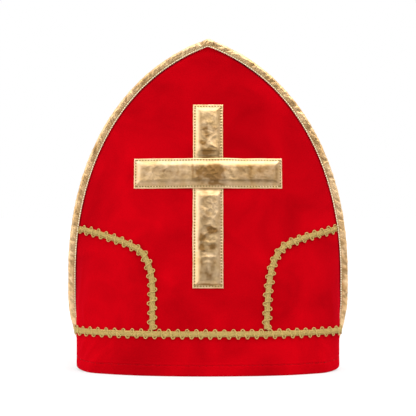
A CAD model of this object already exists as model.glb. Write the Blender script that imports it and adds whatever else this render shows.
"""A costume bishop's mitre, dressed over its CAD solids.

Lengths are worked out in millimetres and turned into metres when a mesh is made. The panels'
shape follows the same sizes as the solids. Cloth pieces are sheets with their own thickness,
the cross is padded, and braid and stitches are made of thread.
"""

import math

import bpy
import numpy as np
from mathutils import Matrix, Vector, noise


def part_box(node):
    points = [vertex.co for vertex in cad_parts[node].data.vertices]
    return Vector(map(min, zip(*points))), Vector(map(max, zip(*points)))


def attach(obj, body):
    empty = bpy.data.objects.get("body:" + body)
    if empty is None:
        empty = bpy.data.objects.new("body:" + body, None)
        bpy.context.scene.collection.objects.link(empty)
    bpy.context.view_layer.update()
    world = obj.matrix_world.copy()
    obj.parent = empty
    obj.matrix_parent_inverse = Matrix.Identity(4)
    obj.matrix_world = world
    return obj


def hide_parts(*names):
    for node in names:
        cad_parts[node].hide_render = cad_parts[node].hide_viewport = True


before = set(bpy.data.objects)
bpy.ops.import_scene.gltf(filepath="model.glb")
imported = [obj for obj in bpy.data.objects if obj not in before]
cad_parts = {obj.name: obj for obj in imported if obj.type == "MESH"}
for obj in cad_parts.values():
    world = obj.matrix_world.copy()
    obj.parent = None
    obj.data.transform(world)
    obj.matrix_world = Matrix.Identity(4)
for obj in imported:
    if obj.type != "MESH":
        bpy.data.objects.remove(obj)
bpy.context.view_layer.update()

MM = 0.001

# The panels' common seam and how far the mitre stands open
SEAM_HALF_WIDTH = 130
SEAM_WIDEST_HEIGHT = 95
SEAM_APEX_HEIGHT = 317.8
ARCH_TIP_ANGLE = math.radians(20)
ARCH_SIDE_FULLNESS = 0.467
ARCH_TIP_FULLNESS = 0.685
DEPTH = {"front": 50, "back": 35}
DEPTH_FALL_POWER = 1.4
FOOT_TURN_HEIGHT = 80
FOOT_WRAP = {"front": math.radians(107), "back": math.radians(45)}
ARCH_WRAP = {"front": math.radians(64), "back": math.radians(58)}
BINDING_FOOT_TURN = math.radians(65)
SEAM_FOOT_SETBACK = 5
FOOT_TAPER = 0.018

# Cloth
CLOTH = 2
CLOTH_IN_SEAM = 1
GAP = 0.3
HEM_TURN_UP = 12
HEM_PLY = 1.6
HEM_PLY_START = {"front": (-1, 0), "back": (0.3, 0.32)}  # the back's hem starts beside the notch
HEM_PLY_END = (0.9, 0.94)
HEM_STITCH_HEIGHT = 10
HEM_CORNER_RISE = 11
HEM_FLAT_SHARE = 0.5
LINING = 0.8
LINING_EASE = 1
LINING_SEAM_MARGIN = 10
LINING_TOP_MARGIN = 24

# Trimmings
BINDING_WIDTH = 7.2
BINDING_TAPE = 0.7
BINDING_EASE = 0.4
BINDING_STITCH_MARGIN = 1.5
NOTCH_HEIGHT = 58.5
NOTCH_ARCH_RADIUS = 35
NOTCH_FOOT_HALF_WIDTH = 36
NOTCH_BINDING_WIDTH = 9
NOTCH_TAPE = 0.8
NOTCH_CLOTH_MARGIN = 2.2
NOTCH_STITCH_LINE = 1.4
STRAP_WIDTH = 25
STRAP_THICKNESS = 1
STRAP_FOOT = 13.7
STRAP_OVERLAP = 12
STRAP_RIB_PITCH = 2.08
CROSS_STRIP_WIDTH = 29.5
CROSS_UPRIGHT_LENGTH = 178
CROSS_FOOT_HEIGHT = 82.5
CROSS_BAR_LENGTH = 144
CROSS_BAR_HEIGHT = 192.5
CROSS_BORDER = 3.3
CROSS_BORDER_THICKNESS = 1
CROSS_PUFF = 2.8
CROSS_PAD_START = 2.8
CROSS_STITCH_LINE = 1.95
CROSS_STITCH_PITCH = 2.86
CROSS_STITCH = (CROSS_STITCH_PITCH, 1.7, 1.3)
CROSS_CLIMB_ABOVE = 17
CROSS_CLIMB_BELOW = 6
BRAID_WIDTH = 9.8
BRAID_PITCH = 8.8
HEM_BRAID_HEIGHT = 39.5
SIDE_BRAID_END_HEIGHT = 138.5

# The routes of the side braids, as shares of the seam's half width and the braid's end height
BRAID_ROUTES = {
    "left_side_braid": (
        (0.427, 0.33), (0.434, 0.49), (0.448, 0.625), (0.479, 0.765),
        (0.557, 0.875), (0.7, 0.934), (0.874, 0.977),
    ),
    "right_side_braid": (
        (0.406, 0.33), (0.406, 0.49), (0.408, 0.62), (0.43, 0.735),
        (0.485, 0.835), (0.6, 0.9), (0.8, 0.962),
    ),
}

# Soft folds: foot and head as shares of the half width and the apex height, then the width as a
# share of the half width and the height as a share of that panel's depth.
FOLDS = {
    "front": (
        ((-0.93, 0), (-0.78, 0.06), 0.05, 0.04),
        ((-0.9, 0.18), (-0.88, 0.38), 0.06, 0.03),
        ((0.9, 0), (0.82, 0.06), 0.05, 0.03),
    ),
    "back": (
        ((0.95, 0.02), (0.68, 0.19), 0.06, 0.075),
        ((-0.95, 0.03), (-0.84, 0.27), 0.06, 0.075),
        ((-0.9, 0.04), (-0.62, 0.13), 0.05, 0.05),
    ),
}
FOLD_SEAM_FADE = 12

# Small drags of the cloth near the feet: place, slant in degrees, length, width and rise
DRAGS = {
    "front": (
        (-114, 20, 60, 11, 2.0, 1.0), (-106, 15, 48, 9, 2.0, 0.6), (-119, 30, 68, 12, 1.8, 0.7),
        (-124, 80, 86, 26, 2.0, 0.9), (-119.5, 54, 96, 14, 1.6, 0.7), (114, 22, 118, 12, 2.2, 0.5),
        (121, 62, 96, 20, 2.2, 0.5), (-96, 24, 38, 12, 2.4, 0.35),
    ),
    "back": ((108, 20, 125, 12, 2.4, 0.5), (-108, 20, 55, 12, 2.4, 0.5)),
}
SEAM_CLOTH_REACH = 5.5

# Thread: stitch pitch, length and thickness of the plain seams
SEAM_STITCH = (3.2, 2.5, 0.45)

LAYER_OFFSET = (GAP + CLOTH_IN_SEAM) / 2
SEAM_LAYERS = (CLOTH_IN_SEAM / 2, -CLOTH_IN_SEAM / 2)
NOTCH_SPRING = NOTCH_HEIGHT - NOTCH_ARCH_RADIUS
SIGN = {"front": 1, "back": -1}
seam_plane_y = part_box("front_panel")[0][1] / MM + DEPTH["front"] + CLOTH / 2


# Shape of the panels

def smooth(value, low, high):
    t = np.clip((np.asarray(value, float) - low) / (high - low), 0, 1)
    return t * t * (3 - 2 * t)


def blend(a, b, share):
    return a + (b - a) * share


def unit(vectors):
    return vectors / np.maximum(np.linalg.norm(vectors, axis=-1, keepdims=True), 1e-9)


def bell(offset, width):
    """A rounded rise that is 1 where the offset is 0 and fades out over about two widths."""
    return np.exp(-((offset / width) ** 2))


def distances(points):
    """How far along a path each of its points lies."""
    return np.concatenate([[0], np.cumsum(np.linalg.norm(np.diff(points, axis=0), axis=1))])


def arch_curve(count=4001):
    """The seam above its widest height: share, half width, height and direction."""
    rise = SEAM_APEX_HEIGHT - SEAM_WIDEST_HEIGHT
    reach = ARCH_TIP_FULLNESS * SEAM_HALF_WIDTH
    tip = (reach * math.cos(ARCH_TIP_ANGLE), SEAM_APEX_HEIGHT - reach * math.sin(ARCH_TIP_ANGLE))
    controls = np.array([
        (SEAM_HALF_WIDTH, SEAM_WIDEST_HEIGHT),
        (SEAM_HALF_WIDTH, SEAM_WIDEST_HEIGHT + ARCH_SIDE_FULLNESS * rise),
        tip,
        (0, SEAM_APEX_HEIGHT),
    ])
    t = np.linspace(0, 1, count)[:, None]
    point = (
        (1 - t) ** 3 * controls[0] + 3 * t * (1 - t) ** 2 * controls[1]
        + 3 * t * t * (1 - t) * controls[2] + t ** 3 * controls[3]
    )
    slope = (
        (1 - t) ** 2 * (controls[1] - controls[0]) + 2 * t * (1 - t) * (controls[2] - controls[1])
        + t * t * (controls[3] - controls[2])
    )
    return t[:, 0], point, unit(slope)


ARCH_SHARE, ARCH_POINT, ARCH_SLOPE = arch_curve()


def from_foot(z, foot, above):
    return blend(foot, above, smooth(z, 0, FOOT_TURN_HEIGHT))


def wrap_angle(panel, z):
    return blend(FOOT_WRAP[panel], ARCH_WRAP[panel], smooth(z, 0, 2 * FOOT_TURN_HEIGHT))


def seam_half_width(z):
    overhang = np.sin(np.maximum(math.pi / 2, wrap_angle("front", z)))
    side = SEAM_HALF_WIDTH * overhang * (1 - from_foot(z, FOOT_TAPER, 0))
    return np.where(z > SEAM_WIDEST_HEIGHT, np.interp(z, ARCH_POINT[:, 1], ARCH_POINT[:, 0]), side)


def seam_frame(z, side):
    """The seam's place, the direction of the bound edge and the front face's normal."""
    z = np.asarray(z, float)
    above = z > SEAM_WIDEST_HEIGHT
    along_x = np.where(above, np.interp(z, ARCH_POINT[:, 1], ARCH_SLOPE[:, 0]), 0)
    along_z = np.where(above, np.interp(z, ARCH_POINT[:, 1], ARCH_SLOPE[:, 1]), 1)
    turn = from_foot(z, BINDING_FOOT_TURN, 0)[..., None]
    flat = np.stack([side * along_z, np.zeros_like(z), -along_x], -1)
    back = np.array([0.0, 1.0, 0.0])
    at = np.stack([side * seam_half_width(z), from_foot(z, SEAM_FOOT_SETBACK, 0), z], -1)
    return at, flat * np.cos(turn) + back * np.sin(turn), flat * np.sin(turn) - back * np.cos(turn)


def section(panel, z):
    """A level section is an arc of an ellipse: wrap, half width, reach, centre and the seam's y."""
    sign = SIGN[panel]
    at, _, front = seam_frame(z, 1)
    start = at + front * sign * LAYER_OFFSET
    wrap = wrap_angle(panel, z)
    share = np.clip(np.asarray(z, float), 0, None) / SEAM_APEX_HEIGHT
    depth = DEPTH[panel] * (1 - share ** DEPTH_FALL_POWER)
    reach = (depth + sign * start[..., 1]) / (1 - np.cos(wrap))
    return wrap, start[..., 0] / np.sin(wrap), reach, sign * (reach - depth), start[..., 1]


def fold_height(panel, x, z):
    fade = smooth(seam_half_width(z) - np.abs(x), 0, FOLD_SEAM_FADE)
    height = np.zeros_like(x)
    scale = np.array([SEAM_HALF_WIDTH, SEAM_APEX_HEIGHT])
    for foot, head, width, share in FOLDS[panel]:
        foot, head = np.array(foot) * scale, np.array(head) * scale
        run = head - foot
        along = ((x - foot[0]) * run[0] + (z - foot[1]) * run[1]) / run.dot(run)
        across = ((x - foot[0]) * run[1] - (z - foot[1]) * run[0]) / math.hypot(*run)
        length = smooth(along, -0.1, 0.2) * (1 - smooth(along, 0.5, 1.1))
        height += share * DEPTH[panel] * length * bell(across, width * SEAM_HALF_WIDTH)
    return height * fade


def middle_point(panel, angle, z):
    _, half_width, reach, centre, _ = section(panel, z)
    x = half_width * np.sin(angle)
    y = centre - SIGN[panel] * (reach * np.cos(angle) + fold_height(panel, x, z))
    return np.stack([x, y, np.asarray(z, float) + np.zeros_like(x)], -1)


def panel_normal(panel, angle, z):
    across = middle_point(panel, angle + 0.01, z) - middle_point(panel, angle - 0.01, z)
    below = np.minimum(z, SEAM_APEX_HEIGHT - 1) - 0.25
    up = middle_point(panel, angle, below + 0.5) - middle_point(panel, angle, below)
    return unit(np.cross(across, up)) * SIGN[panel]


def off_panel(panel, angle, z, distance):
    distance = np.asarray(distance, float)
    return middle_point(panel, angle, z) + panel_normal(panel, angle, z) * distance[..., None]


def angle_at(panel, x, z):
    return np.arcsin(np.clip(x / section(panel, z)[1], -1, 1))


def noise_at(u, v, size, seed=0):
    """Soft noise from -1 to 1 over two coordinates, its features about size across."""
    flat = np.stack([np.ravel(u) / size, np.ravel(v) / size], -1)
    values = [noise.noise(Vector((a, b, 7.3 * seed))) for a, b in flat.tolist()]
    return np.array(values).reshape(np.shape(u))


def ridges(value):
    """Turns noise into narrow ridges on a broad floor."""
    return (1 - np.abs(value)) ** 3


# Making meshes

def make_piece(name, points, faces, finishes, face_finish=None, uv=None, shade=None):
    """Makes a mesh of points in millimetres and turns it inside in if its volume is negative."""
    points = np.asarray(points, float) + np.array([0, seam_plane_y, 0])
    if isinstance(faces, np.ndarray):
        faces = faces.tolist()
    faces = [tuple(dict.fromkeys(face)) for face in faces]
    mesh = bpy.data.meshes.new(name)
    mesh.from_pydata((points * MM).tolist(), [], faces)
    for finish in finishes:
        mesh.materials.append(finish)
    if face_finish is not None:
        mesh.polygons.foreach_set("material_index", np.asarray(face_finish, np.int32))
    if uv is not None:
        corners = np.empty(len(mesh.loops), np.int32)
        mesh.loops.foreach_get("vertex_index", corners)
        layer = mesh.uv_layers.new(name="cloth")
        layer.data.foreach_set("uv", (np.asarray(uv, float) * MM)[corners].ravel())
    if shade is not None:
        mesh.attributes.new("hollow", "FLOAT", "POINT").data.foreach_set("value", shade)
    mesh.polygons.foreach_set("use_smooth", np.full(len(mesh.polygons), True))
    piece = bpy.data.objects.new(name, mesh)
    bpy.context.scene.collection.objects.link(piece)
    bpy.ops.object.select_all(action="DESELECT")
    piece.select_set(True)
    bpy.context.view_layer.objects.active = piece
    bpy.ops.object.mode_set(mode="EDIT")
    bpy.ops.mesh.select_all(action="SELECT")
    bpy.ops.mesh.remove_doubles(threshold=1e-6)
    bpy.ops.mesh.dissolve_degenerate(threshold=1e-6)
    bpy.ops.object.mode_set(mode="OBJECT")
    if signed_volume(mesh) < 0:
        mesh.flip_normals()
    return piece


def signed_volume(mesh):
    mesh.calc_loop_triangles()
    corners = np.empty(len(mesh.loop_triangles) * 3, np.int32)
    mesh.loop_triangles.foreach_get("vertices", corners)
    places = np.empty(len(mesh.vertices) * 3)
    mesh.vertices.foreach_get("co", places)
    a, b, c = places.reshape(-1, 3)[corners].reshape(-1, 3, 3).transpose(1, 0, 2)
    return float(np.einsum("ij,ij->i", a, np.cross(b, c)).sum())


def grid_faces(rows, columns, start=0):
    index = np.arange(rows * columns).reshape(rows, columns) + start
    corners = (index[:-1, :-1], index[:-1, 1:], index[1:, 1:], index[1:, :-1])
    return np.stack(corners, -1).reshape(-1, 4)


def layered(outer, inner, rim=("foot", "head", "first", "last")):
    """Points and faces of a sheet with an outer and an inner layer, joined along its rims."""
    rows, columns = outer.shape[:2]
    count = rows * columns
    outside = grid_faces(rows, columns)
    inside = grid_faces(rows, columns, count)[:, ::-1]
    index = np.arange(count).reshape(rows, columns)
    borders = {
        "foot": index[0], "head": index[-1][::-1], "first": index[:, 0][::-1], "last": index[:, -1],
    }
    points = np.concatenate([outer.reshape(-1, 3), inner.reshape(-1, 3)])
    closing = [rim_faces(borders[side], count) for side in rim]
    return points, np.concatenate([outside, inside, *closing]), len(outside)


def rim_faces(line, count):
    """Faces that join a line of the outer layer's points to the inner layer."""
    return np.stack([line[1:], line[:-1], line[:-1] + count, line[1:] + count], -1)


def layers_uv(along, across):
    """The same UVs for the outer and the inner layer."""
    return np.tile(np.stack([along, across], -1).reshape(-1, 2), (2, 1))


def swept(rings):
    """Points and faces of closed rings carried along a path, shape (stations, ring, 3)."""
    stations, ring = rings.shape[:2]
    index = np.arange(stations * ring).reshape(stations, ring)
    after = np.roll(index, -1, axis=1)
    faces = np.stack([index[:-1], after[:-1], after[1:], index[1:]], -1).reshape(-1, 4).tolist()
    return rings.reshape(-1, 3), [*faces, index[0][::-1].tolist(), index[-1].tolist()]


def joined(parts):
    """Points, faces and one more value a point or a face, of several meshes in one."""
    points, faces, values = [], [], []
    start = 0
    for part_points, part_faces, part_values in parts:
        points.append(part_points)
        faces += [[i + start for i in face] for face in part_faces]
        values.append(part_values)
        start += len(part_points)
    return np.concatenate(points), faces, np.concatenate(values)


def frames_along(points, normals):
    """Unit tangents, and directions across a path that lies on a surface with these normals."""
    tangent = unit(np.gradient(points, axis=0))
    return tangent, unit(np.cross(tangent, normals))


def respaced(points, spacing, *others):
    """The same path with even spacing, with other values carried along it."""
    length = distances(points)
    places = np.linspace(0, length[-1], max(2, round(length[-1] / spacing) + 1))
    return [places, *(interpolated(places, length, values) for values in (points, *others))]


def interpolated(places, length, vectors):
    return np.stack([np.interp(places, length, part) for part in vectors.T], -1)


# Shader groups

COLOURS = ("Colour", "Bright", "Dull", "Deep")


def new_group(name, inputs, outputs):
    """A shader group with these inputs and outputs, and its nodes for both."""
    group = bpy.data.node_groups.new(name, "ShaderNodeTree")
    for way, keys in (("INPUT", inputs), ("OUTPUT", outputs)):
        for key in keys:
            kind = "Color" if key in COLOURS else "Vector" if key == "Normal" else "Float"
            group.interface.new_socket(name=key, in_out=way, socket_type=f"NodeSocket{kind}")
    return group, group.nodes.new("NodeGroupInput"), group.nodes.new("NodeGroupOutput")


def feed(tree, node, entries):
    """Sets a node's inputs. Each entry is a constant, or another node and the output to link."""
    for key, value in entries.items():
        if isinstance(value, tuple) and isinstance(value[0], bpy.types.Node):
            tree.links.new(value[0].outputs[value[1]], node.inputs[key])
        else:
            node.inputs[key].default_value = value


def add_node(tree, kind, entries=None, **settings):
    made = tree.nodes.new(f"ShaderNode{kind}")
    for key, value in settings.items():
        setattr(made, key, value)
    feed(tree, made, entries or {})
    return made


def tinted(group, colour, share):
    return add_node(group, "VectorMath", {0: colour, "Scale": share}, operation="SCALE"), "Vector"


def one_less(group, value):
    return add_node(group, "Math", {0: 1, 1: value}, operation="SUBTRACT"), 0


def bump(group, distance, height, strength, under=None):
    """A bump of this height over a smooth normal, or over the one from an earlier bump."""
    entries = {"Distance": distance, "Height": height, "Strength": strength}
    if under:
        entries["Normal"] = under
    return add_node(group, "Bump", entries), "Normal"


def nap_group():
    """Fine brushed fibres and soft clouds of lighter and darker nap."""
    inputs = ("Colour", "Cloud size", "Cloud strength", "Fibre size", "Fibre depth")
    group, given, out = new_group("brushed nap", inputs, ("Colour", "Normal"))
    place = add_node(group, "TexCoord"), "Object"
    clouds = add_node(group, "TexNoise", {
        "Vector": place, "Scale": (given, "Cloud size"), "Detail": 3, "Distortion": 0.6,
    })
    fibres = add_node(group, "TexNoise", {
        "Vector": place, "Scale": (given, "Fibre size"), "Detail": 4, "Roughness": 0.7,
    }), "Fac"
    middle = {"From Min": 0.3, "From Max": 0.7}
    spread = add_node(group, "MapRange", {
        **middle, "Value": (clouds, "Fac"), "To Min": one_less(group, (given, "Cloud strength")),
    })
    fleck = add_node(group, "MapRange", {**middle, "Value": fibres, "To Min": 0.9, "To Max": 1.06})
    both = add_node(
        group, "Math", {0: (spread, "Result"), 1: (fleck, "Result")}, operation="MULTIPLY"
    )
    feed(group, out, {
        "Colour": tinted(group, (given, "Colour"), (both, 0)),
        "Normal": bump(group, 0.0004, fibres, (given, "Fibre depth")),
    })
    return group


def foil_group():
    """Metal foil on a fine knit: small creases, a knit grain and worn, duller patches."""
    inputs = (
        "Bright", "Dull", "Deep", "Crease size", "Crease depth", "Grain size", "Grain depth", "Hollow",
    )
    group, given, out = new_group("foil on knit", inputs, ("Colour", "Roughness", "Normal"))
    place = add_node(group, "TexCoord")
    creases = add_node(group, "TexNoise", {
        "Vector": (place, "Object"), "Scale": (given, "Crease size"), "Detail": 3, "Distortion": 0.8,
    }, noise_type="RIDGED_MULTIFRACTAL")
    patches = add_node(group, "TexNoise", {
        "Vector": (place, "Object"), "Scale": 45, "Detail": 4, "Distortion": 1.2,
    }), "Fac"
    grain = add_node(group, "TexVoronoi", {
        "Vector": (place, "UV"), "Scale": (given, "Grain size"),
    })
    share = add_node(group, "MapRange", {"Value": patches, "From Min": 0.35, "From Max": 0.65})
    worn = add_node(group, "Mix", data_type="RGBA")
    feed(group, worn, {"Factor": (share, "Result"), "A": (given, "Dull"), "B": (given, "Bright")})
    shaded = add_node(group, "Mix", data_type="RGBA")
    feed(group, shaded, {"Factor": (given, "Hollow"), "A": (worn, "Result"), "B": (given, "Deep")})
    rough = add_node(group, "MapRange", {
        "Value": patches, "From Min": 0.3, "From Max": 0.7, "To Min": 0.38, "To Max": 0.5,
    })
    creased = bump(group, 0.0012, (creases, "Fac"), (given, "Crease depth"))
    feed(group, out, {
        "Colour": (shaded, "Result"),
        "Roughness": (rough, "Result"),
        "Normal": bump(group, 0.0003, (grain, "Distance"), (given, "Grain depth"), creased),
    })
    return group


def twist_group():
    """Thread: fine strands running round it at a slant, read from the piece's own UV map."""
    inputs = ("Colour", "Strand size", "Depth", "Shade")
    group, given, out = new_group("twisted strands", inputs, ("Colour", "Normal"))
    turned = add_node(group, "Mapping", {
        "Vector": (add_node(group, "TexCoord"), "UV"), "Rotation": (0, 0, math.radians(38)),
    })
    strands = add_node(group, "TexWave", {
        "Vector": (turned, "Vector"), "Scale": (given, "Strand size"), "Distortion": 0.8, "Detail": 1,
    }), "Fac"
    shade = add_node(group, "MapRange", {
        "Value": strands, "To Min": one_less(group, (given, "Shade")), "To Max": 1.1,
    })
    feed(group, out, {
        "Colour": tinted(group, (given, "Colour"), (shade, "Result")),
        "Normal": bump(group, 0.0003, strands, (given, "Depth")),
    })
    return group


NAP = nap_group()
FOIL = foil_group()
TWIST = twist_group()


# Materials

def material(name, group, values, shader):
    """A material whose colour and normal come from a group, given its inputs' values in order."""
    made = bpy.data.materials.new(name)
    made.use_nodes = True
    tree = made.node_tree
    effect = add_node(tree, "Group", node_tree=group)
    feed(tree, effect, dict(zip(effect.inputs.keys(), values)))
    if "Hollow" in effect.inputs:
        hollow = add_node(tree, "Attribute", attribute_name="hollow")
        feed(tree, effect, {"Hollow": (hollow, "Fac")})
    for output, entry in (("Colour", "Base Color"), ("Normal", "Normal"), ("Roughness", "Roughness")):
        if output in effect.outputs:
            shader = {**shader, entry: (effect, output)}
    feed(tree, tree.nodes["Principled BSDF"], shader)
    return made


RED = (0.53, 0.0005, 0.0045, 1)
DEEP = (0.195, 0.085, 0.012, 1)
RED_SHEEN = {"Sheen Tint": (1, 0.02, 0.06, 1)}
MATTE = {"Roughness": 0.95, "Specular IOR Level": 0.0}
METAL = {"Metallic": 1.0}

red_cloth = material(
    "red brushed cloth", NAP, (RED, 20, 0.32, 1500, 0.35),
    {**MATTE, **RED_SHEEN, "Sheen Weight": 0.35, "Sheen Roughness": 0.5},
)
red_tape = material(
    "red folded tape", NAP, (RED, 60, 0.1, 2200, 0.3), {**MATTE, **RED_SHEEN, "Sheen Weight": 0.3}
)
wrong_side = material("pale wrong side", NAP, ((0.72, 0.62, 0.6, 1), 40, 0.08, 1300, 0.5), MATTE)
lining_cloth = material("pale lining", NAP, ((0.8, 0.62, 0.6, 1), 50, 0.08, 1700, 0.4), MATTE)
elastic_cloth = material(
    "white elastic", NAP, ((0.76, 0.78, 0.84, 1), 80, 0.04, 2600, 0.3),
    {"Roughness": 0.6, "Specular IOR Level": 0.3},
)
gold_tape = material(
    "gold binding tape", FOIL,
    ((0.92, 0.66, 0.38, 1), (0.74, 0.46, 0.2, 1), DEEP, 260, 0.25, 1400, 0.5), METAL,
)
gold_cross_cloth = material(
    "gold cross cloth", FOIL,
    ((0.92, 0.7, 0.45, 1), (0.82, 0.565, 0.28, 1), DEEP, 170, 0.16, 1500, 0.25), METAL,
)
braid_thread = material(
    "gold braid thread", TWIST, ((0.64, 0.455, 0.14, 1), 420, 0.7, 0.4),
    {"Metallic": 0.5, "Roughness": 0.36},
)
dark_thread = material(
    "olive sewing thread", TWIST, ((0.3, 0.21, 0.065, 1), 900, 0.4, 0.2),
    {"Roughness": 0.7, "Specular IOR Level": 0.1},
)
pale_thread = material(
    "pale gold sewing thread", TWIST, ((0.97, 0.86, 0.56, 1), 900, 0.4, 0.1),
    {"Roughness": 0.45, "Specular IOR Level": 0.6},
)
red_thread = material(
    "red sewing thread", TWIST, ((0.5, 0.0006, 0.005, 1), 900, 0.5, 0.3),
    {"Roughness": 0.6, "Specular IOR Level": 0.1},
)


# Stitches

def select_in_edit(kind, parts, chosen):
    """Opens the active piece in edit mode with those vertices or edges selected that pass a test."""
    bpy.ops.object.mode_set(mode="EDIT")
    bpy.ops.mesh.select_mode(type=kind)
    bpy.ops.mesh.select_all(action="DESELECT")
    bpy.ops.object.mode_set(mode="OBJECT")
    for part in parts:
        part.select = chosen(part)
    bpy.ops.object.mode_set(mode="EDIT")


def model_stitch():
    """One stitch of thread, a unit long and thick, its ends sinking into the cloth."""
    bpy.ops.object.select_all(action="DESELECT")
    bpy.ops.mesh.primitive_cylinder_add(
        vertices=6, radius=0.5, depth=1, location=(0, 0, 0), rotation=(0, math.pi / 2, 0)
    )
    bpy.ops.object.transform_apply(location=False, rotation=True, scale=False)
    stitch = bpy.context.object
    mesh = stitch.data

    def is_long(edge):
        first, last = (mesh.vertices[i].co.x for i in edge.vertices)
        return abs(first - last) > 0.5

    select_in_edit("EDGE", mesh.edges, is_long)
    bpy.ops.mesh.subdivide(number_cuts=3)
    for end in (-1, 1):
        for near, far, drop, slim in ((0.4, 0.6, 0.5, 0.7), (0.2, 0.4, 0.12, 0.95)):
            bpy.ops.object.mode_set(mode="OBJECT")
            select_in_edit("VERT", mesh.vertices, lambda vertex: near < vertex.co.x * end < far)
            bpy.ops.transform.resize(value=(1, slim, slim))
            bpy.ops.transform.translate(value=(0, 0, -drop))
    bpy.ops.object.mode_set(mode="OBJECT")
    points = np.array([vertex.co[:] for vertex in mesh.vertices])
    faces = [tuple(face.vertices) for face in mesh.polygons]
    bpy.data.objects.remove(stitch, do_unlink=True)
    return points, faces


STITCH_POINTS, STITCH_FACES = model_stitch()


def stitches(name, path, normals, size, finish):
    """A row of stitches along a path over cloth. The size is their pitch, length and thickness."""
    pitch, length, thickness = size
    _, points, normals = respaced(path, pitch, normals)
    normals = unit(normals)
    shape = STITCH_POINTS * np.array([length, thickness, thickness])
    uv = STITCH_POINTS[:, :2] * np.array([length, 3 * thickness])
    row = [
        (at + shape[:, :1] * t + shape[:, 1:2] * s + shape[:, 2:] * n, STITCH_FACES, uv)
        for at, t, s, n in zip(points, *frames_along(points, normals), normals)
    ]
    points, faces, uv = joined(row)
    return make_piece(name, points, faces, [finish], uv=uv)


def dress(piece, node=None):
    """Puts a piece on the mitre: its body, the node it replaces and its finish's slot."""
    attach(piece, "root")
    if node:
        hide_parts(node)
    return piece


# Cloth panels

def row_heights(extra=()):
    low = np.concatenate([
        np.linspace(0, 7, 6), np.linspace(7.5, 13, 16), np.linspace(14, SEAM_WIDEST_HEIGHT, 52),
    ])
    high = np.interp(np.linspace(0, 1, 104)[1:-1], ARCH_SHARE, ARCH_POINT[:, 1])
    return np.unique(np.concatenate([low, high, np.asarray(extra, float)]))


def corner_rise(z):
    return HEM_CORNER_RISE * (1 - smooth(z, 0, FOOT_TURN_HEIGHT))


def rise_share(share):
    return np.clip((np.abs(share) - HEM_FLAT_SHARE) / (1 - HEM_FLAT_SHARE), 0, None) ** 2


def seam_distance(x, z):
    """How far a place is from the seam, seen from the front."""
    arch = ARCH_POINT[::40]
    far = np.hypot(np.abs(x)[..., None] - arch[:, 0], z[..., None] - arch[:, 1]).min(-1)
    return np.where(z < SEAM_WIDEST_HEIGHT, np.minimum(far, seam_half_width(z) - np.abs(x)), far)


def cloth_relief(panel, x, z, row):
    """Small rises and dips of the cloth: its hem, its stitch line and the pull of its seams."""
    seed = 1 if panel == "front" else 2
    near = np.clip(seam_distance(x, z), 0, None)
    along = np.where(np.abs(x) > 0.8 * seam_half_width(z), z, x)
    pulls = 0.3 * np.exp(-near / 6) * noise_at(along, near * 0.25, 7, seed)
    broad = 0.9 * noise_at(x, z, 70, seed) + 0.35 * noise_at(x, z, 26, seed + 4)
    broad *= smooth(near, 0, 25)
    band = 0.25 * (1 - smooth(row, HEM_STITCH_HEIGHT + 0.4, HEM_TURN_UP + 1))
    groove = -0.35 * bell(row - HEM_STITCH_HEIGHT, 0.8)
    pucker = 0.16 * np.sin(x * 2 * math.pi / 4.6 + 2 * noise_at(x, row, 15, seed + 2))
    pucker *= bell(row - HEM_STITCH_HEIGHT, 3.5)
    hem_wave = 0.35 * noise_at(x, row * 0.3, 18, seed + 6) * (1 - smooth(row, 0, 30))
    drags = np.zeros_like(near)
    for at_x, at_z, slant, length, width, rise in DRAGS[panel]:
        turn = math.radians(slant)
        u = (x - at_x) * math.cos(turn) + (z - at_z) * math.sin(turn)
        v = (z - at_z) * math.cos(turn) - (x - at_x) * math.sin(turn)
        drags += rise * bell(v, width) * bell(u, length)
    return pulls + broad + band + groove + pucker + hem_wave + drags


def panel_places(panel, row, shares):
    """Heights, places in the middle of the cloth and normals, from rows and shares of the wrap."""
    z = row + corner_rise(row) * rise_share(shares)
    angle = shares * wrap_angle(panel, z)
    return z, middle_point(panel, angle, z), panel_normal(panel, angle, z)


def panel_layers(panel, heights, shares):
    """Outer and inner layers of a panel's rows, each row with its own column shares."""
    row = heights[:, None] + np.zeros_like(shares)
    z, middle, normal = panel_places(panel, row, shares)
    clear = np.abs(middle[..., 1] - section(panel, z)[4])
    cloth_here = CLOTH_IN_SEAM + np.minimum(CLOTH - CLOTH_IN_SEAM, clear)
    relief = cloth_relief(panel, middle[..., 0], z, row) * smooth(clear, 0, 3)
    ply = HEM_PLY * (1 - smooth(row, HEM_TURN_UP, HEM_TURN_UP + 1))
    ply *= smooth(np.abs(shares), *HEM_PLY_START[panel]) * (1 - smooth(np.abs(shares), *HEM_PLY_END))
    outer = middle + normal * (cloth_here / 2 + relief)[..., None]
    inner = middle - normal * (cloth_here / 2 + ply - relief)[..., None]
    for layer in (outer, inner):
        layer[row == 0, 2] = z[row == 0]
    return outer, inner


def with_seam(panel, heights, layers, sides):
    """Adds the cloth inside the binding before the first or after the last columns."""
    for side in sides:
        at, edge, front = seam_frame(heights + corner_rise(heights), side)
        columns = np.stack([at + edge * SEAM_CLOTH_REACH, at], 1)[:, ::-side]
        out = (front * SIGN[panel])[:, None]
        layers = [
            np.concatenate([columns + out * (LAYER_OFFSET + half), layer][::-side], 1)
            for layer, half in zip(layers, SEAM_LAYERS)
        ]
    return layers


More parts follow.
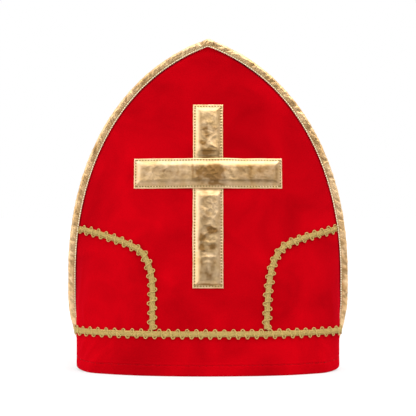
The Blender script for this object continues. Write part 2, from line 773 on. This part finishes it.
def close_top(panel, layers):
    """Adds the rows at the apex, where the cloth inside the binding closes to a point."""
    for layer, half in zip(layers, SEAM_LAYERS):
        middle = (0, -SIGN[panel] * (LAYER_OFFSET + half), SEAM_APEX_HEIGHT)
        apex = np.tile(middle, (layer.shape[1], 1))
        top = apex + (0, 0, SEAM_CLOTH_REACH / math.cos(ARCH_TIP_ANGLE))
        for column, way in ((0, -1), (-1, 1)):
            # the back's two halves meet in the middle and have no binding there
            if abs(layer[-1, column, 0]) > 3:
                lean = np.array([way * math.sin(ARCH_TIP_ANGLE), 0, math.cos(ARCH_TIP_ANGLE)])
                apex[column] += SEAM_CLOTH_REACH * lean
        yield np.concatenate([layer, apex[None], top[None]])


def panel_cloth(panel, heights, shares, sides):
    """Points, faces and finishes of a panel: red outside and on the hem, pale on its wrong side."""
    layers = with_seam(panel, heights, panel_layers(panel, heights, shares), sides)
    outer, inner = close_top(panel, layers)
    rim = ["foot", "head", *("first" if side < 0 else "last" for side in sides)]
    points, faces, outside = layered(outer, inner, rim)
    finish = np.zeros(len(faces), int)
    hem_rows = int((heights < HEM_TURN_UP + 0.5).sum())
    finish[outside + hem_rows * (outer.shape[1] - 1):2 * outside] = 1
    return points, faces, finish, outer.shape[:2]


def front_panel():
    heights = row_heights()
    shares = np.tile(np.linspace(-1, 1, 190)[1:-1], (len(heights), 1))
    points, faces, finish, _ = panel_cloth("front", heights, shares, (-1, 1))
    piece = make_piece("front_panel_cloth", points, faces, [red_cloth, wrong_side], finish)
    return dress(piece, "front_panel")


def notch_half_width(z, margin):
    leg = blend(NOTCH_FOOT_HALF_WIDTH, NOTCH_ARCH_RADIUS, z / NOTCH_SPRING) + margin
    arch = np.sqrt(np.clip((NOTCH_ARCH_RADIUS + margin) ** 2 - (z - NOTCH_SPRING) ** 2, 0, None))
    return np.where(z < NOTCH_SPRING, leg, arch)


def back_panel():
    """The back is made in two halves that meet in the middle above the notch."""
    arch = NOTCH_ARCH_RADIUS + NOTCH_CLOTH_MARGIN
    heights = row_heights(NOTCH_SPRING + arch * np.sin(np.radians(np.linspace(45, 90, 16))))
    beside = heights < NOTCH_SPRING + arch - 1e-6
    half_width = notch_half_width(heights, NOTCH_CLOTH_MARGIN)
    edge = np.where(beside, angle_at("back", half_width, heights) / wrap_angle("back", heights), 0)
    shares = blend(edge[:, None], 1, np.linspace(0, 1, 96)[:-1])
    halves = []
    for side in (-1, 1):
        points, faces, finish, (rows, columns) = panel_cloth(
            "back", heights, side * shares[:, ::side], (side,)
        )
        middle = 0 if side > 0 else columns - 1
        line = (np.arange(rows) * columns + middle)[:beside.sum() + 1][::-side]
        cut = rim_faces(line, rows * columns)
        halves.append((points, [*faces.tolist(), *cut.tolist()], [*finish, *[0] * len(cut)]))
    points, faces, finish = joined(halves)
    piece = make_piece("back_panel_cloth", points, faces, [red_cloth, wrong_side], finish)
    return dress(piece, "back_panel")


def hem_stitches(panel):
    share = np.linspace(-0.97, 0.97, 700)
    row = np.full_like(share, HEM_STITCH_HEIGHT)
    z, middle, normal = panel_places(panel, row, share)
    relief = cloth_relief(panel, middle[:, 0], z, row)
    points = middle + normal * (CLOTH / 2 + relief + 0.12)[:, None]
    runs = [slice(None)]
    if panel == "back":
        beside = NOTCH_FOOT_HALF_WIDTH + NOTCH_BINDING_WIDTH + 1
        runs = [points[:, 0] < -beside, points[:, 0] > beside]
    for number, run in enumerate(runs, 1):
        name = f"{panel}_hem_stitches_{number}"
        dress(stitches(name, points[run], normal[run], SEAM_STITCH, red_thread))


def front_lining():
    z = np.linspace(HEM_TURN_UP + 1.2, SEAM_APEX_HEIGHT - LINING_TOP_MARGIN, 110)[:, None]
    share = np.linspace(-1, 1, 130)[None, :]
    angle = share * angle_at("front", seam_half_width(z) - LINING_SEAM_MARGIN, z)
    z = z + np.zeros_like(angle)
    x = section("front", z)[1] * np.sin(angle)
    wave = 0.5 * noise_at(x, z, 30, 11) + 0.25 * noise_at(x, z, 11, 12) - 0.3
    depth = np.minimum(wave, 0.3) - (CLOTH / 2 + LINING_EASE)
    outer, inner = (off_panel("front", angle, z, depth - ply) for ply in (0, LINING))
    points, faces, _ = layered(outer, inner)
    piece = make_piece("front_lining_cloth", points, faces, [lining_cloth])
    return dress(piece, "front_lining")


# Gold binding

BINDING_STITCH = (2.4, 2.55, 1.2)
BINDING_STITCH_INSET = 0.55
BINDING_STITCH_LINE = 1.3
TIP_DENT = 6


def folded_tape(flat, half, turns):
    """A folded tape across its width: how far out and how high it lies, and its normal's two parts.

    It runs in along flat, turns round a bend of radius half and runs back out underneath.
    """
    turn = np.radians(turns)[1:-1]
    zero, one = np.zeros_like(flat), np.ones_like(flat)
    return np.concatenate([
        np.stack([flat, half * one, zero, one], -1),
        np.stack([flat[-1] + half * np.cos(turn), half * np.sin(turn), np.cos(turn), np.sin(turn)], -1),
        np.stack([flat[::-1], -half * one, zero, -one], -1),
    ])


def tape_places(path, around):
    """Distances along a tape and across it, and how far each place is from a sewn edge."""
    girth = distances(around[:, :2])
    along, across = np.meshgrid(distances(path), girth, indexing="ij")
    return along, across, np.minimum(across, girth[-1] - across)


def binding_stations():
    """Frames along the seam from the left foot over the tip to the right foot."""
    low = np.linspace(0, SEAM_WIDEST_HEIGHT, 150)[:-1]
    steps = np.interp(np.linspace(0, 1, 340), ARCH_SHARE, ARCH_POINT[:, 1])[:-1]
    heights = np.concatenate([low, steps])
    z = heights + corner_rise(heights)
    one, other = seam_frame(z, 1), seam_frame(z, -1)
    tip_at = np.array([0, 0, SEAM_APEX_HEIGHT])
    turns = np.linspace(1, -1, 13)
    tip_edge = []
    for turn in turns:
        lean = turn * ARCH_TIP_ANGLE
        across = 1 / math.cos(ARCH_TIP_ANGLE - abs(lean))
        tip_edge.append((math.sin(lean) * across, 0, math.cos(lean) * across))
    at = np.concatenate([one[0], np.tile(tip_at, (len(turns), 1)), other[0][::-1]])
    edge = np.concatenate([one[1], np.array(tip_edge), other[1][::-1]])
    front = np.concatenate([one[2], np.tile((0, -1, 0), (len(turns), 1)), other[2][::-1]])
    return at, edge, front


def tape_wrinkles(along, across, seed):
    """Slanting creases of a tape pulled round a curve, with small puckers at its sewn edge."""
    slant = along + 0.8 * across
    bend = 2.2 * noise_at(along, across, 11, seed)
    creases = ridges(noise_at(slant + bend, across * 0.45, 4.6, seed + 1) * 1.7)
    fine = ridges(noise_at(slant * 0.8 - bend, across * 0.5, 2.3, seed + 2) * 1.5)
    return 0.7 * creases + 0.24 * fine - 0.3


def edge_binding():
    at, edge, front = binding_stations()
    half = LAYER_OFFSET + CLOTH_IN_SEAM / 2 + BINDING_EASE + BINDING_TAPE / 2
    start, end = BINDING_STITCH_MARGIN, BINDING_STITCH_MARGIN + BINDING_WIDTH
    around = folded_tape(np.linspace(start, end - half, 9), half, np.linspace(90, -90, 11))
    along, across, sewn = tape_places(at + edge * end / 2, around)
    rise = tape_wrinkles(along, across, 21)
    from_tip = np.abs(along - along[len(along) // 2])
    rise -= 0.6 * bell(from_tip - TIP_DENT, 1.6)
    rise += 0.35 * bell(from_tip, 2.6)
    rise *= smooth(sewn, 1.0, 3.0) * blend(0.95, 0.6, smooth(sewn, 5, 8))
    rise -= 0.3 * bell(sewn - BINDING_STITCH_LINE, 0.45)
    rise += 0.08 * bell(sewn, 0.6) * np.sin(along * 2 * math.pi / BINDING_STITCH[0])
    rise -= 0.3 * (1 - smooth(sewn, 0, 0.9))

    def carried(offset):
        reach = around[:, 0] + around[:, 2] * offset
        lift = around[:, 1] + around[:, 3] * offset
        return at[:, None] + edge[:, None] * reach[..., None] + front[:, None] * lift[..., None]

    thick = BINDING_TAPE / 2
    shade = 0.6 * smooth(-rise, -0.1, 0.3) * (1 - 0.6 * bell(sewn, 0.9))
    points, faces, _ = layered(carried(thick + rise), carried(-thick + 0 * rise))
    piece = make_piece(
        "edge_binding_tape", points, faces, [gold_tape],
        uv=layers_uv(along, across), shade=np.tile(shade.ravel(), 2),
    )
    dress(piece, "edge_binding")
    for name, sign in (("front", 1), ("back", -1)):
        path = at + edge * (start + BINDING_STITCH_INSET) + front * sign * (half + thick - 0.15)
        name = f"binding_{name}_stitches"
        dress(stitches(name, path, front * sign, BINDING_STITCH, pale_thread))
    return piece


# Notch binding and strap

def notch_route(count=240):
    """The notch's outline from one foot over the arch to the other, and the direction outwards."""
    lean = math.atan2(NOTCH_FOOT_HALF_WIDTH - NOTCH_ARCH_RADIUS, NOTCH_SPRING)
    turns = np.linspace(math.pi, 0, count // 2)
    legs = np.linspace(0, 1, count // 4)[:-1]
    arch = np.stack([np.cos(turns), np.sin(turns)], -1) * NOTCH_ARCH_RADIUS + (0, NOTCH_SPRING)
    leg = np.stack([blend(NOTCH_FOOT_HALF_WIDTH, NOTCH_ARCH_RADIUS, legs), legs * NOTCH_SPRING], -1)
    place = np.concatenate([leg * (-1, 1), arch, leg[::-1]])
    angle = np.concatenate([np.full(len(legs), math.pi + lean), turns, np.full(len(legs), -lean)])
    ease = smooth(place[:, 1], 0, NOTCH_SPRING)
    angle = np.where(place[:, 0] < 0, blend(math.pi, angle, ease), angle * ease)
    return place, np.stack([np.cos(angle), np.sin(angle)], -1)


def notch_surface(place, out, reach, height):
    x = place[:, None, 0] + out[:, None, 0] * reach
    z = np.clip(place[:, None, 1] + out[:, None, 1] * reach, 0, None)
    return off_panel("back", angle_at("back", x, z), z, height)


def notch_binding():
    place, out = notch_route()
    fold = CLOTH / 2 + GAP + NOTCH_TAPE / 2
    around = folded_tape(np.linspace(NOTCH_BINDING_WIDTH, fold, 12), fold, np.linspace(90, 270, 13))
    along, across, sewn = tape_places(place, around)
    groove = sewn - NOTCH_STITCH_LINE
    rise = 0.25 * noise_at(along, across, 8, 31) + 0.12 * noise_at(along, across, 3, 32)
    rise += 0.45 * smooth(sewn, 1.6, 3.4) - 0.35 * bell(groove, 0.5)
    rise += 0.1 * np.sin(along * 2 * math.pi / 3.4) * bell(groove, 1.4)
    outside_only = np.where(around[:, 1] > -0.5, 1, 0.3)
    rise = np.maximum(rise * outside_only, -0.5)

    def carried(offset):
        reach = around[:, 0] + around[:, 2] * offset
        return notch_surface(place, out, reach, around[:, 1] + around[:, 3] * offset)

    thick = NOTCH_TAPE / 2
    points, faces, _ = layered(carried(thick + rise), carried(np.full_like(rise, -thick)))
    piece = make_piece("notch_binding_tape", points, faces, [red_tape])
    dress(piece, "notch_binding")
    reach = np.full((len(place), 1), NOTCH_BINDING_WIDTH - NOTCH_STITCH_LINE)
    line, above = (notch_surface(place, out, reach, fold + thick + up)[:, 0] for up in (-0.2, 0.8))
    clear = line[:, 2] > 2
    path, normals = line[clear], unit(above - line)[clear]
    dress(stitches("notch_stitches", path, normals, SEAM_STITCH, red_thread))
    return piece


def strap_surface(x, z, depth):
    """The strap follows the tape beside the notch and runs straight between its two sides."""
    inside = -(CLOTH / 2 + GAP + NOTCH_TAPE + GAP) - depth
    beside = np.maximum(np.abs(x), NOTCH_ARCH_RADIUS)
    points = off_panel("back", angle_at("back", beside, z), z, inside + np.zeros_like(x))
    points[..., 0] = x
    return points


def elastic_strap():
    reach = NOTCH_ARCH_RADIUS + STRAP_OVERLAP
    x = np.linspace(-reach, reach, 120)[None, :]
    z = np.linspace(STRAP_FOOT, STRAP_FOOT + STRAP_WIDTH, 101)[:, None]
    x, z = x + 0 * z, z + 0 * x
    rib = np.abs(np.sin((z - STRAP_FOOT) * math.pi / STRAP_RIB_PITCH)) ** 0.5
    edge = smooth(np.minimum(z - STRAP_FOOT, STRAP_FOOT + STRAP_WIDTH - z), 0, 0.6)
    hollow = 1 - rib * edge
    outer = strap_surface(x, z, 0.45 * hollow + 0.06 * np.sin(x * 2 * math.pi / 1.6) * rib)
    inner = strap_surface(x, z, STRAP_THICKNESS - 0.3 * hollow)
    points, faces, _ = layered(outer, inner)
    piece = make_piece("elastic_strap_band", points, faces, [elastic_cloth])
    return dress(piece, "elastic_strap")


# Padded cross

# Place along the strip and across it, length, slant in degrees, width and height
CREASES = {
    "upright": (
        (50, -4, 11, 40, 1.3, 0.5), (43, -1, 15, -8, 1.2, 0.5), (35, -5, 8, 20, 1.1, 0.3),
        (29, -1, 15, 2, 1.1, 0.75), (21, -1, 13, 86, 1.2, 0.5), (58, 5, 9, -30, 1.1, 0.3),
        (76, 3, 14, -40, 1.2, 0.25), (69, -5, 10, 50, 1.2, 0.2), (88, 2, 13, 25, 1.2, 0.2),
        (145, -4, 11, -36, 1.2, 0.5), (144, 5, 10, 38, 1.2, 0.5), (136, 4, 8, -20, 1.2, 0.35),
        (159, 0, 14, 14, 1.3, 0.2), (167, 3, 11, -30, 1.3, 0.2),
    ),
    "bar": (
        (87, 0, 16, 4, 1.2, 0.6), (84, 5, 8, 30, 1.1, 0.3), (58, 1, 14, 8, 1.2, 0.4),
        (17, 0, 12, 24, 1.2, 0.25), (23, -2, 11, -20, 1.2, 0.25), (31, 3, 8, 50, 1.1, 0.2),
        (95, 2, 11, -14, 1.2, 0.3), (102, -3, 9, 25, 1.2, 0.15), (71, 3, 8, -30, 1.1, 0.2),
    ),
}
PAD_TONE = {"upright": 0.49, "bar": 0.48}

# The most crumpled zones: place along the strip and reach
CRUMPLED = {"upright": ((46, 13), (142, 12), (72, 16)), "bar": ((76, 12), (22, 12))}

# Darker hollows between the creases: place along and across, reach along and across, and depth
SHADED = {
    "upright": (
        (54.5, 4, 3.4, 5, 0.8), (48, -5, 3.2, 4.2, 0.75), (38.5, 4.5, 2.8, 4.4, 0.65),
        (38, -5.5, 3.4, 3.4, 0.65), (23, 5, 5, 3, 0.35), (24, -6, 4, 2.5, 0.3), (12, 0, 4.5, 6, 0.4),
        (3.6, 0, 1, 10, 0.55), (68, -1, 4, 4, 0.25), (83, 3, 5, 4, 0.2),
        (139, -5, 3, 3, 0.55), (131, 0, 3.4, 8, 0.65), (147, 1, 2.6, 3, 0.4), (153, -3, 4, 4, 0.3),
        (154, 5, 4, 3.4, 0.25), (125.5, 0, 1.4, 11, 0.5),
    ),
    "bar": (
        (78, 0, 9, 9, 0.85), (64, -1, 6.5, 8, 0.45), (44, -2, 10, 6, 0.2), (30, 0, 8, 6, 0.12),
        (79, -10.4, 8, 1.6, 0.5), (104, -2, 20, 6, 0.06), (57, 4, 1.2, 6, 0.3),
    ),
}


def crumples(strip, along, across, seed):
    """Creases of crumpled foil cloth over soft padding."""
    bent = 2.8 * noise_at(along, across, 9, seed + 3)
    turned = 2.8 * noise_at(along, across, 8, seed + 6)
    height = 0.4 * noise_at(along, across, 15, seed)
    height += 0.14 * noise_at(along + bent, across + turned, 5.5, seed + 1)
    zone = 0.3 + sum(bell(along - at, reach) for at, reach in CRUMPLED[strip])
    lines = ridges(1.6 * noise_at(along + bent, across - turned, 5.5, seed + 4))
    fine = ridges(1.5 * noise_at(along - turned, across + bent, 3.2, seed + 2))
    height += 0.17 * zone * (lines - 0.35) + 0.05 * fine
    for at, aside, length, slant, width, rise in CREASES[strip]:
        turn = math.radians(slant)
        u = (across - aside) * math.cos(turn) + (along - at) * math.sin(turn)
        v = ((along - at) * math.cos(turn) - (across - aside) * math.sin(turn) + 0.6 * bent) / width
        ridge = bell(v, 1) - 0.5 * bell(0.7 * v + 1.6, 1)
        height += 0.5 * rise * ridge * bell(u, 0.55 * length)
    return height


def from_edges(along, across, length):
    """How far a place on a strip is from its long edges and from its ends."""
    return CROSS_STRIP_WIDTH / 2 - np.abs(across), np.minimum(along, length - along)


def hollow_shade(strip, along, across, length, seed):
    """How brown the foil is: pale on the border, browner on the pad, darkest in its hollows."""
    half = CROSS_STRIP_WIDTH / 2
    inside = np.minimum(*from_edges(along, across, length))
    lower, right = (along, half - across) if strip == "upright" else (half + across, length - along)
    mottled = noise_at(along, across, 5, seed) + 0.6 * noise_at(along, across, 2.2, seed + 1)
    bent = 1.8 * noise_at(along, across, 6, seed + 2)
    turned = 1.8 * noise_at(along, across, 6, seed + 3)
    shaded = 1 - smooth(np.minimum(lower, right) - inside, 0, 1.5)
    steep = 0.85 * smooth(inside, CROSS_PAD_START, 4.2)
    reach = blend(smooth(inside, CROSS_PAD_START, 8.5), steep, shaded)
    depth = PAD_TONE[strip] * reach * (1 + 0.4 * mottled)
    depth += 0.3 * bell(lower - CROSS_BORDER, 0.7) + 0.22 * bell(right - CROSS_BORDER, 0.8)
    if strip == "bar":
        depth += 0.27 * smooth(along, 82, 120) * smooth(inside, CROSS_PAD_START, 7)
    for at, aside, reach, width, strength in SHADED[strip]:
        far = ((along + bent - at) / reach) ** 2 + ((across + turned - aside) / width) ** 2
        depth += strength * np.exp(-(far ** 1.2)) * (1 + 0.25 * mottled)
    border = 0.2 * smooth(inside, 0.4, 1.2) * (1 - smooth(inside, 2.6, 3.6))
    return np.clip(depth, 0, 0.9) * smooth(inside, 0.6, 2.2) + border


def cross_strip(strip, length, seed, place, flattened, lift_of):
    """A padded strip with a flat stitched border; along runs from 0 to its length."""
    half = CROSS_STRIP_WIDTH / 2
    along = np.linspace(0, length, round(length / 0.6) + 1)
    along, across = np.meshgrid(along, np.linspace(-half, half, 56), indexing="ij")
    sides, ends = from_edges(along, across, length)
    inside = np.minimum(sides, ends)
    from_stitch = inside - CROSS_STITCH_LINE
    padded = np.clip((inside - CROSS_PAD_START) / 6.4, 0, 1)
    puffed = flattened(along)
    bead = np.sin(np.clip(inside / 1.7, 0, 1) * math.pi / 2)
    height = CROSS_BORDER_THICKNESS * (0.15 + 0.85 * bead)
    height -= 0.42 * bell(from_stitch, 0.55)
    height += (CROSS_PUFF - CROSS_BORDER_THICKNESS + 0.6) * (1 - (1 - padded) ** 2.2) * puffed
    height += crumples(strip, along, across, seed) * smooth(padded, 0, 0.7) * (0.35 + 0.65 * puffed)
    run = np.where(sides < ends, along, across)
    height += 0.13 * np.sin(run * 2 * math.pi / CROSS_STITCH_PITCH) * bell(from_stitch, 1.2) * bead
    height += 0.1 * noise_at(along, across, 6, seed + 5) * (1 - smooth(padded, 0, 0.2)) * bead
    sway = across + 0.35 * noise_at(along, np.sign(across) * 9, 16, seed + 7)
    base = CLOTH / 2 + GAP
    outer = place(along, sway, base + lift_of(along, CROSS_CLIMB_ABOVE) + height)
    inner = place(along, sway, base + lift_of(along, CROSS_CLIMB_BELOW))
    points, faces, _ = layered(outer, inner)
    shade = hollow_shade(strip, along, across, length, seed + 9)
    piece = make_piece(
        f"cross_{strip}_pad", points, faces, [gold_cross_cloth],
        uv=layers_uv(along, across), shade=np.tile(shade.ravel(), 2),
    )
    dress(piece, f"cross_{strip}")
    inset = CROSS_STITCH_LINE
    corner = np.array([
        (inset, inset - half), (length - inset, inset - half),
        (length - inset, half - inset), (inset, half - inset), (inset, inset - half),
    ])
    share = np.linspace(0.01, 0.99, 160)[:, None]
    for number in range(4):
        x, z = blend(corner[number], corner[number + 1], share).T
        level = base + lift_of(x, CROSS_CLIMB_ABOVE) + CROSS_BORDER_THICKNESS - 0.15
        path = place(x, z, level)
        normals = unit(place(x, z, level + 1) - path)
        name = f"cross_{strip}_stitches_{number + 1}"
        dress(stitches(name, path, normals, CROSS_STITCH, dark_thread))
    return piece


def on_front(x, z, height):
    return off_panel("front", angle_at("front", x, z), z, height)


def cross_upright():
    bar = CROSS_BAR_HEIGHT - CROSS_FOOT_HEIGHT
    under = CROSS_STRIP_WIDTH / 2 + CROSS_BORDER / 2

    def flattened(along):
        return smooth(np.abs(along - bar), under, under + 6)

    def place(along, across, height):
        return on_front(across, along + CROSS_FOOT_HEIGHT, height)

    def lift_of(along, run):
        return 0 * along

    return cross_strip("upright", CROSS_UPRIGHT_LENGTH, 41, place, flattened, lift_of)


def cross_bar():
    middle = CROSS_BAR_LENGTH / 2

    def lift_of(along, run):
        climb = CROSS_BORDER_THICKNESS + GAP
        edge = CROSS_STRIP_WIDTH / 2 - 0.7
        return climb * (1 - smooth(np.abs(along - middle), edge, edge + run))

    def place(along, across, height):
        return on_front(along - middle, across + CROSS_BAR_HEIGHT, height)

    return cross_strip("bar", CROSS_BAR_LENGTH, 51, place, np.ones_like, lift_of)


# Braid

BRAID_CORD = 0.56
BRAID_STRAND = 0.5
BRAID_STRANDS = 5


def tube(points, normals, radius, sides=6, flat=0.85):
    """A closed tube of thread along a path, with UVs that run along and round it."""
    tangent, across = frames_along(points, normals)
    up = np.cross(across, tangent)
    turn = np.linspace(0, 2 * math.pi, sides, endpoint=False)[:, None]
    ring = across[:, None] * np.cos(turn) * radius + up[:, None] * np.sin(turn) * radius * flat
    uv = np.stack(np.meshgrid(distances(points), turn * radius, indexing="ij"), -1).reshape(-1, 2)
    return *swept(points[:, None] + ring), uv


def braid(name, path, normals):
    """Looped braid: a plaited core, and a doubled cord whose loops stand out on both sides."""
    length, path, normals = respaced(path, 0.25, normals)
    normals = unit(normals)
    across = frames_along(path, normals)[1]
    total = length[-1]
    count = max(1, round(total / BRAID_PITCH))
    pitch = total / count

    def placed(along, aside, lift):
        along = np.clip(along, 0, total)
        at, up, beside = (interpolated(along, length, values) for values in (path, normals, across))
        lift = CLOTH / 2 + GAP + lift
        return at + up * lift[:, None] + beside * aside[:, None], unit(up)

    turn = np.linspace(0, 2 * math.pi * count, count * 34 + 1)
    uneven = 0.12 * noise_at(turn, 0 * turn, 5, 61 + len(name))
    along = pitch * turn / (2 * math.pi) - 0.3 * np.sin(2 * turn)
    swing = np.sign(np.sin(turn)) * np.abs(np.sin(turn)) ** 0.7
    aside = (BRAID_WIDTH / 2 - BRAID_CORD) * swing * (1 + uneven)
    tubes = [tube(*placed(along, aside, 2 * BRAID_CORD + 0.35 * np.cos(turn)), BRAID_CORD)]
    for shift in (-0.7, 0.7):
        along = pitch * (turn + shift) / (2 * math.pi)
        lift = BRAID_CORD + 0.3 * np.cos(turn + shift)
        tubes.append(tube(*placed(along, 2.7 * np.sin(turn), lift), 0.55))
    plait = pitch * 0.62
    steps = np.linspace(0, total, round(total / plait * 12) + 1)
    for number in range(BRAID_STRANDS):
        angle = 2 * math.pi * (steps / plait + number / BRAID_STRANDS)
        lift = 1.35 * BRAID_CORD + 0.32 * np.sin(2 * angle + 0.8)
        strand = placed(steps, 2.3 * np.sin(angle), lift)
        tubes.append(tube(*strand, BRAID_STRAND, sides=5, flat=0.9))
    points, faces, uv = joined(tubes)
    piece = make_piece(f"{name}_thread", points, faces, [braid_thread], uv=uv)
    return dress(piece, name)


def front_braid(name, angle, z):
    return braid(name, middle_point("front", angle, z), panel_normal("front", angle, z))


def hem_braid():
    z = np.full(1200, HEM_BRAID_HEIGHT, float)
    reach = float(section("front", HEM_BRAID_HEIGHT)[2])
    limit = float(wrap_angle("front", HEM_BRAID_HEIGHT)) - 2.0 / reach
    return front_braid("hem_braid", np.linspace(-limit, limit, 1200), z)


def spline(points, count):
    """A smooth curve through points, as a draughtsman's spline."""
    points = np.asarray(points, float)
    padded = np.concatenate([[2 * points[0] - points[1]], points, [2 * points[-1] - points[-2]]])
    t = np.linspace(0, len(points) - 1 - 1e-9, count)
    i = np.floor(t).astype(int)
    w = (t - i)[:, None]
    a, b, c, d = (padded[i + k] for k in range(4))
    square = (2 * a - 5 * b + 4 * c - d) * w ** 2
    cube = (3 * b - a - 3 * c + d) * w ** 3
    return 0.5 * (2 * b + (c - a) * w + square + cube)


def side_braid(name, side):
    places = [(out * SEAM_HALF_WIDTH, up * SIDE_BRAID_END_HEIGHT) for out, up in BRAID_ROUTES[name]]
    places[0] = (places[0][0], HEM_BRAID_HEIGHT + BRAID_WIDTH / 2 - 0.6)
    places.append((float(seam_half_width(SIDE_BRAID_END_HEIGHT)) - 0.8, SIDE_BRAID_END_HEIGHT))
    route = spline(places, 900)
    z = route[:, 1]
    return front_braid(name, angle_at("front", side * route[:, 0], z), z)


# Studio

CAMERA_DISTANCE = 1.0
CAMERA_HEIGHT = 0.1592
CAMERA_LENS = 87

# Brightness of the room, from the wall behind the mitre to the one behind the camera
ROOM_LIGHT = ((0, 1.1), (0.5, 1.15), (0.68, 0.7), (0.82, 0.3), (0.93, 0.18), (1, 0.15))
FLOOR_LOOK = {
    "Base Color": (0.26, 0.26, 0.26, 1), "Emission Color": (1, 1, 1, 1), "Emission Strength": 0.62,
    "Roughness": 0.9, "Specular IOR Level": 0.0,
}


def place_in_scene(name, data, place, turn):
    made = bpy.data.objects.new(name, data)
    bpy.context.scene.collection.objects.link(made)
    made.location, made.rotation_euler = place, turn
    return made


def camera():
    data = bpy.data.cameras.new("camera")
    data.lens, data.sensor_width = CAMERA_LENS, 36
    place = (0, seam_plane_y * MM - CAMERA_DISTANCE, CAMERA_HEIGHT)
    bpy.context.scene.camera = place_in_scene("camera", data, place, (math.pi / 2, 0, 0))


def sun(name, place, angle, energy):
    data = bpy.data.lights.new(name, "SUN")
    data.energy, data.angle = energy, math.radians(angle)
    place_in_scene(name, data, place, (-Vector(place)).to_track_quat("-Z", "Y").to_euler())


def studio_light(tree):
    """White walls, a darker room behind the camera, light from above and a window at the left."""
    place = add_node(tree, "TexCoord"), "Generated"

    def towards(direction):
        return add_node(tree, "VectorMath", {0: place, 1: direction}, operation="DOT_PRODUCT"), "Value"

    span = add_node(tree, "MapRange", {"Value": towards((0.17, -0.985, 0)), "From Min": -1})
    ramp = add_node(tree, "ValToRGB", {"Fac": (span, "Result")})
    elements = ramp.color_ramp.elements
    for position, value in ROOM_LIGHT:
        ends = {0: elements[0], 1: elements[-1]}
        element = ends[position] if position in ends else elements.new(position)
        element.color = (value, value, value, 1)
    bias = add_node(tree, "MapRange", {
        "Value": towards((0.2, 0, 0.98)), "From Min": -1, "To Min": 0.5, "To Max": 1.5,
    })
    window = add_node(tree, "MapRange", {
        "Value": towards((-0.72, -0.56, 0.41)), "From Min": 0.72, "To Max": 1.2,
    }, interpolation_type="SMOOTHSTEP")
    room = tinted(tree, (ramp, "Color"), (bias, "Result"))
    return add_node(tree, "VectorMath", {0: room, 1: (window, "Result")}), "Vector"


def floor():
    bpy.ops.object.select_all(action="DESELECT")
    bpy.ops.mesh.primitive_plane_add(size=14, location=(0, 6.4, 0))
    made = bpy.context.object
    made.name = "floor"
    pale = bpy.data.materials.new("pale floor")
    pale.use_nodes = True
    feed(pale.node_tree, pale.node_tree.nodes["Principled BSDF"], FLOOR_LOOK)
    made.data.materials.append(pale)


def studio():
    camera()
    sun("key", (0.7, -1.2, 2.0), 60, 2.35)
    world = bpy.data.worlds.new("studio")
    bpy.context.scene.world = world
    world.use_nodes = True
    tree = world.node_tree
    seen = tree.nodes["Background"]
    feed(tree, seen, {"Color": (1, 1, 1, 1)})
    lit = add_node(tree, "Background", {"Color": studio_light(tree)})
    mix = add_node(tree, "MixShader", {
        "Fac": (add_node(tree, "LightPath"), "Is Camera Ray"),
        1: (lit, "Background"), 2: (seen, "Background"),
    })
    feed(tree, tree.nodes["World Output"], {"Surface": (mix, "Shader")})
    floor()
    bpy.context.scene.view_settings.view_transform = "Standard"


bpy.ops.object.select_all(action="DESELECT")
studio()
front_panel()
back_panel()
hem_stitches("front")
hem_stitches("back")
front_lining()
edge_binding()
notch_binding()
elastic_strap()
cross_upright()
cross_bar()
hem_braid()
side_braid("left_side_braid", 1)
side_braid("right_side_braid", -1)
